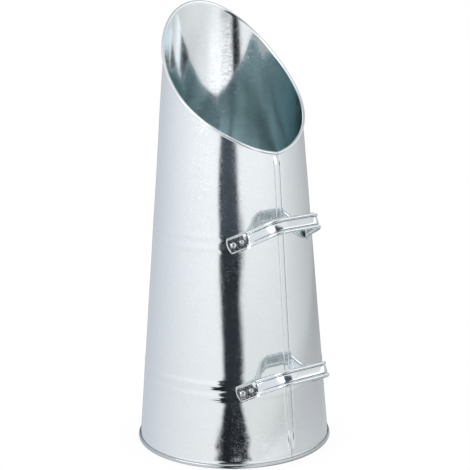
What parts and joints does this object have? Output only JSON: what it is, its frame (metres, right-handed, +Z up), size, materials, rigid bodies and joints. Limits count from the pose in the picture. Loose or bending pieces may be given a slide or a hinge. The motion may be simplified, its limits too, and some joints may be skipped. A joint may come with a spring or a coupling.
{
  "type": "coal hod",
  "caption": "Tall tapered sheet-steel coal hod with a slanted wired mouth, a lock seam, swaged bead pairs, a double-seamed base and riveted strap handles.",
  "frame": {"origin": "on the floor at the middle of the round foot, where the body's axis meets the plane it stands on", "axes": "+Z up along the body's axis; -Y toward the seam and the handles; +Y toward the high lip; +X to the right of someone who faces the handles"},
  "size_m": [0.2616, 0.2984, 0.5834],
  "materials": {
    "galvanised_body": "bright zinc coating, smooth and nearly mirror-like",
    "galvanised_base": "zinc coating, satin",
    "galvanised_wire": "zinc-coated round wire",
    "galvanised_strap": "zinc coating over a pressed strap",
    "plated_rivet": "plated, satin"
  },
  "bodies": {
    "root": {"body_shell": "galvanised_body", "base_disc": "galvanised_base", "rim_wire": "galvanised_wire", "upper_handle": "galvanised_strap", "lower_handle": "galvanised_strap", "upper_rivet_left_outer": "plated_rivet", "upper_rivet_left_inner": "plated_rivet", "upper_rivet_right_outer": "plated_rivet", "upper_rivet_right_inner": "plated_rivet", "lower_rivet_left_outer": "plated_rivet", "lower_rivet_left_inner": "plated_rivet", "lower_rivet_right_outer": "plated_rivet", "lower_rivet_right_inner": "plated_rivet"}
  },
  "joints": []
}
